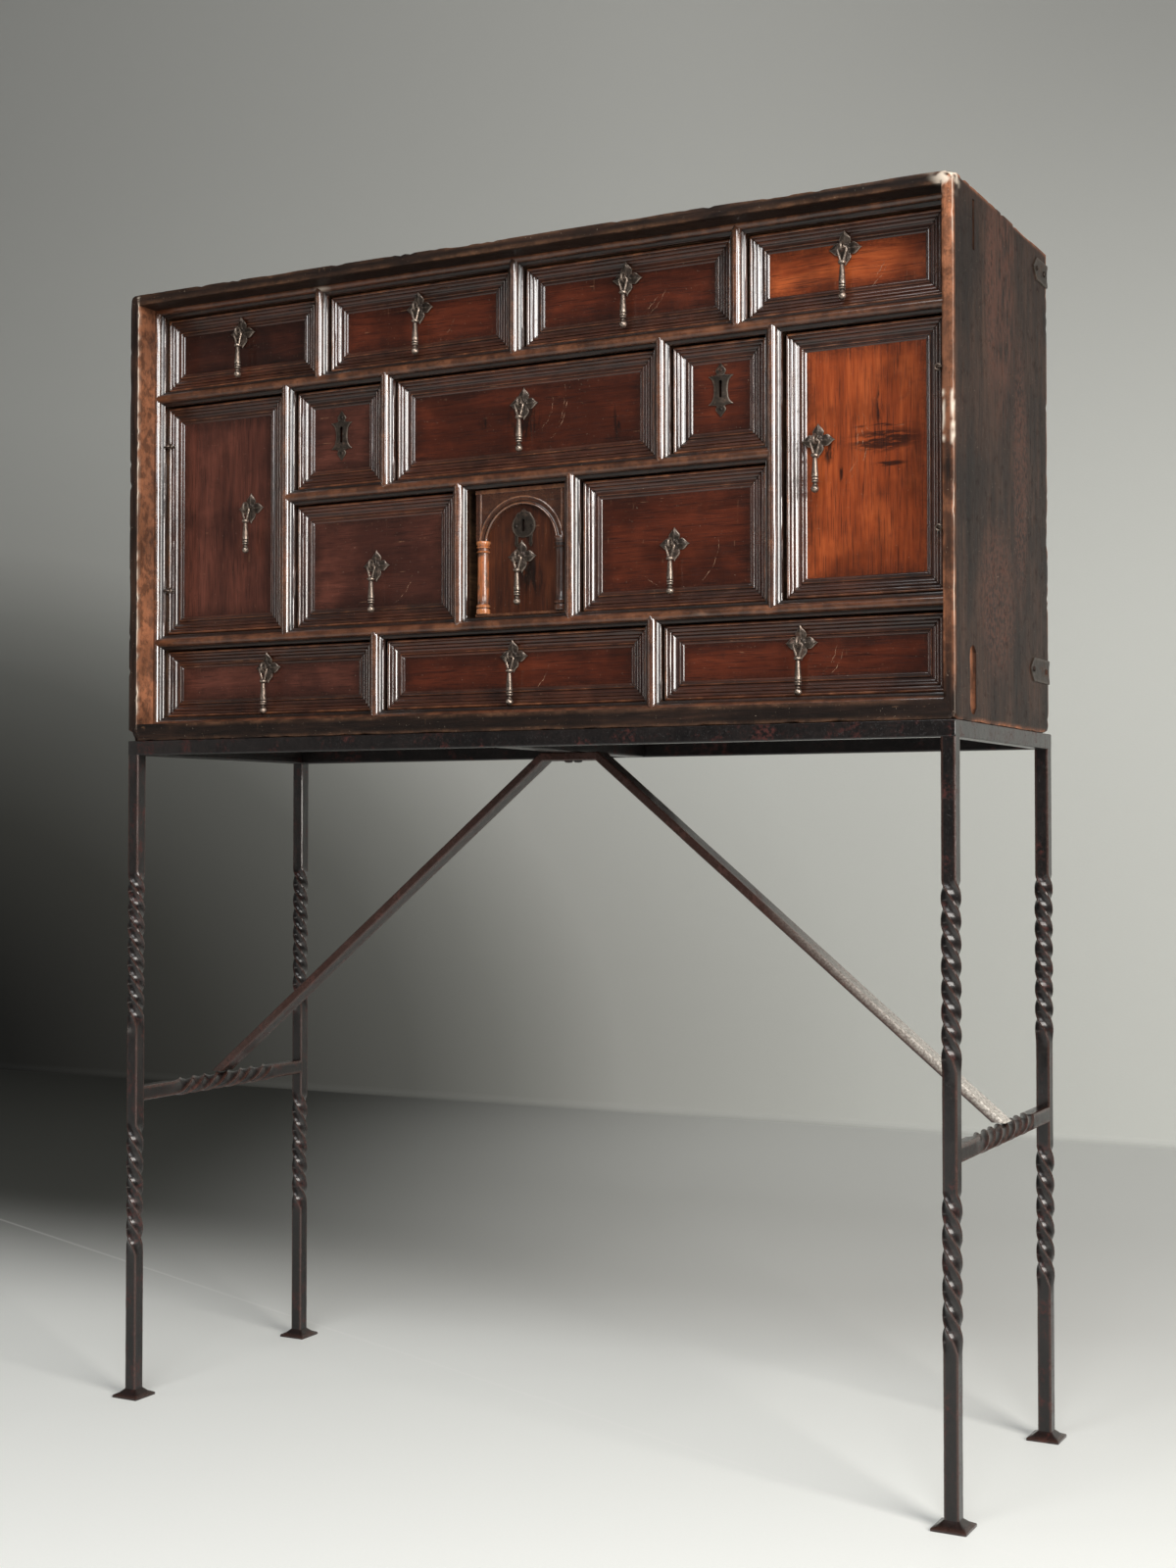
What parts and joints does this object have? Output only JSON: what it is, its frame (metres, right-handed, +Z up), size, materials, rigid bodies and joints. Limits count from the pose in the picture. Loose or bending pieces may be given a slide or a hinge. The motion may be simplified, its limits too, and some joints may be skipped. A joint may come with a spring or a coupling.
{
  "type": "cabinet on stand",
  "caption": "Walnut vargueno writing cabinet with moulded drawers, doors and an arched portal, on an open wrought iron stand with twisted legs and diagonal braces.",
  "frame": {"origin": "on the floor under the centre of the stand's four feet", "axes": "+X to the right seen from the front, +Y to the back, +Z up; the drawers face -Y"},
  "size_m": [1.102, 0.39, 1.3885],
  "materials": {
    "case_walnut": "old worn varnish",
    "front_walnut": "old polished varnish",
    "lining_wood": "bare and dusty",
    "stand_iron": "dark waxed wrought iron",
    "pull_iron": "worn bright on the edges"
  },
  "bodies": {
    "cabinet": {"case_top": "case_walnut", "case_bottom": "case_walnut", "case_left_side": "case_walnut", "case_right_side": "case_walnut", "case_back": "lining_wood", "nest_liners": "lining_wood", "shelves": "lining_wood", "uprights": "lining_wood", "front_mouldings": "front_walnut", "case_hinge_eyes": "pull_iron", "corner_straps": "pull_iron", "stand_top_frame": "stand_iron", "stand_legs": "stand_iron", "stand_feet": "stand_iron", "stand_stretchers": "stand_iron", "stand_braces": "stand_iron", "brace_rivets": "stand_iron"},
    "drawer_top_1": {"drawer_top_1": "front_walnut", "pull_mount_top_1": "pull_iron"},
    "drawer_top_2": {"drawer_top_2": "front_walnut", "pull_mount_top_2": "pull_iron"},
    "drawer_top_3": {"drawer_top_3": "front_walnut", "pull_mount_top_3": "pull_iron"},
    "drawer_top_4": {"drawer_top_4": "front_walnut", "pull_mount_top_4": "pull_iron"},
    "drawer_bottom_1": {"drawer_bottom_1": "front_walnut", "pull_mount_bottom_1": "pull_iron"},
    "drawer_bottom_2": {"drawer_bottom_2": "front_walnut", "pull_mount_bottom_2": "pull_iron"},
    "drawer_bottom_3": {"drawer_bottom_3": "front_walnut", "pull_mount_bottom_3": "pull_iron"},
    "drawer_lock_left": {"drawer_lock_left": "front_walnut", "lock_left": "pull_iron"},
    "drawer_wide": {"drawer_wide": "front_walnut", "pull_mount_wide": "pull_iron"},
    "drawer_lock_right": {"drawer_lock_right": "front_walnut", "lock_right": "pull_iron"},
    "drawer_left": {"drawer_left": "front_walnut", "pull_mount_left": "pull_iron"},
    "drawer_right": {"drawer_right": "front_walnut", "pull_mount_right": "pull_iron"},
    "door_left": {"door_left": "front_walnut", "door_left_ironwork": "pull_iron"},
    "door_right": {"door_right": "front_walnut", "door_right_ironwork": "pull_iron"},
    "door_portal": {"door_portal": "front_walnut", "door_portal_ironwork": "pull_iron"},
    "drop_top_1": {"drop_top_1": "pull_iron"},
    "drop_top_2": {"drop_top_2": "pull_iron"},
    "drop_top_3": {"drop_top_3": "pull_iron"},
    "drop_top_4": {"drop_top_4": "pull_iron"},
    "drop_bottom_1": {"drop_bottom_1": "pull_iron"},
    "drop_bottom_2": {"drop_bottom_2": "pull_iron"},
    "drop_bottom_3": {"drop_bottom_3": "pull_iron"},
    "drop_wide": {"drop_wide": "pull_iron"},
    "drop_left": {"drop_left": "pull_iron"},
    "drop_right": {"drop_right": "pull_iron"},
    "drop_door_left": {"drop_door_left": "pull_iron"},
    "drop_door_right": {"drop_door_right": "pull_iron"},
    "drop_portal": {"drop_portal": "pull_iron"}
  },
  "joints": [
    {"name": "drawer_top_1_slide", "type": "slide", "parent": "cabinet", "child": "drawer_top_1", "axis": [0, -1, 0], "range_m": [0, 0.22]},
    {"name": "drawer_top_2_slide", "type": "slide", "parent": "cabinet", "child": "drawer_top_2", "axis": [0, -1, 0], "range_m": [0, 0.22]},
    {"name": "drawer_top_3_slide", "type": "slide", "parent": "cabinet", "child": "drawer_top_3", "axis": [0, -1, 0], "range_m": [0, 0.22]},
    {"name": "drawer_top_4_slide", "type": "slide", "parent": "cabinet", "child": "drawer_top_4", "axis": [0, -1, 0], "range_m": [0, 0.22]},
    {"name": "drawer_bottom_1_slide", "type": "slide", "parent": "cabinet", "child": "drawer_bottom_1", "axis": [0, -1, 0], "range_m": [0, 0.22]},
    {"name": "drawer_bottom_2_slide", "type": "slide", "parent": "cabinet", "child": "drawer_bottom_2", "axis": [0, -1, 0], "range_m": [0, 0.22]},
    {"name": "drawer_bottom_3_slide", "type": "slide", "parent": "cabinet", "child": "drawer_bottom_3", "axis": [0, -1, 0], "range_m": [0, 0.22]},
    {"name": "drawer_lock_left_slide", "type": "slide", "parent": "cabinet", "child": "drawer_lock_left", "axis": [0, -1, 0], "range_m": [0, 0.22]},
    {"name": "drawer_wide_slide", "type": "slide", "parent": "cabinet", "child": "drawer_wide", "axis": [0, -1, 0], "range_m": [0, 0.22]},
    {"name": "drawer_lock_right_slide", "type": "slide", "parent": "cabinet", "child": "drawer_lock_right", "axis": [0, -1, 0], "range_m": [0, 0.22]},
    {"name": "drawer_left_slide", "type": "slide", "parent": "cabinet", "child": "drawer_left", "axis": [0, -1, 0], "range_m": [0, 0.22]},
    {"name": "drawer_right_slide", "type": "slide", "parent": "cabinet", "child": "drawer_right", "axis": [0, -1, 0], "range_m": [0, 0.22]},
    {"name": "door_left_hinge", "type": "hinge", "parent": "cabinet", "child": "door_left", "pos_m": [-0.5126, -0.1426, 1.1085], "axis": [0, 0, -1], "range_deg": [0, 110]},
    {"name": "door_right_hinge", "type": "hinge", "parent": "cabinet", "child": "door_right", "pos_m": [0.5126, -0.1426, 1.1105], "axis": [0, 0, 1], "range_deg": [0, 110]},
    {"name": "door_portal_pivot", "type": "hinge", "parent": "cabinet", "child": "door_portal", "pos_m": [0.0558, -0.134, 1.0345], "axis": [0, 0, 1], "range_deg": [0, 90]},
    {"name": "drop_top_1_swing", "type": "hinge", "parent": "drawer_top_1", "child": "drop_top_1", "pos_m": [-0.40075, -0.145, 1.3347], "axis": [-1, 0, 0], "range_deg": [-3, 120]},
    {"name": "drop_top_2_swing", "type": "hinge", "parent": "drawer_top_2", "child": "drop_top_2", "pos_m": [-0.1375, -0.145, 1.3347], "axis": [-1, 0, 0], "range_deg": [-3, 120]},
    {"name": "drop_top_3_swing", "type": "hinge", "parent": "drawer_top_3", "child": "drop_top_3", "pos_m": [0.141, -0.145, 1.3347], "axis": [-1, 0, 0], "range_deg": [-3, 120]},
    {"name": "drop_top_4_swing", "type": "hinge", "parent": "drawer_top_4", "child": "drop_top_4", "pos_m": [0.40425, -0.145, 1.3347], "axis": [-1, 0, 0], "range_deg": [-3, 120]},
    {"name": "drop_bottom_1_swing", "type": "hinge", "parent": "drawer_bottom_1", "child": "drop_bottom_1", "pos_m": [-0.35925, -0.145, 0.9109], "axis": [-1, 0, 0], "range_deg": [-3, 120]},
    {"name": "drop_bottom_2_swing", "type": "hinge", "parent": "drawer_bottom_2", "child": "drop_bottom_2", "pos_m": [-0.007, -0.145, 0.9109], "axis": [-1, 0, 0], "range_deg": [-3, 120]},
    {"name": "drop_bottom_3_swing", "type": "hinge", "parent": "drawer_bottom_3", "child": "drop_bottom_3", "pos_m": [0.35225, -0.145, 0.9109], "axis": [-1, 0, 0], "range_deg": [-3, 120]},
    {"name": "drop_wide_swing", "type": "hinge", "parent": "drawer_wide", "child": "drop_wide", "pos_m": [0.0055, -0.145, 1.2057], "axis": [-1, 0, 0], "range_deg": [-6, 120]},
    {"name": "drop_left_swing", "type": "hinge", "parent": "drawer_left", "child": "drop_left", "pos_m": [-0.1995, -0.145, 1.0287], "axis": [-1, 0, 0], "range_deg": [-6, 120]},
    {"name": "drop_right_swing", "type": "hinge", "parent": "drawer_right", "child": "drop_right", "pos_m": [0.1995, -0.145, 1.0287], "axis": [-1, 0, 0], "range_deg": [-6, 120]},
    {"name": "drop_door_left_swing", "type": "hinge", "parent": "door_left", "child": "drop_door_left", "pos_m": [-0.3875, -0.145, 1.1123], "axis": [-1, 0, 0], "range_deg": [-6, 120]},
    {"name": "drop_door_right_swing", "type": "hinge", "parent": "door_right", "child": "drop_door_right", "pos_m": [0.3726, -0.145, 1.1293], "axis": [-1, 0, 0], "range_deg": [-6, 120]},
    {"name": "drop_portal_swing", "type": "hinge", "parent": "door_portal", "child": "drop_portal", "pos_m": [0.003, -0.145, 1.0274], "axis": [-1, 0, 0], "range_deg": [-6, 170]}
  ]
}
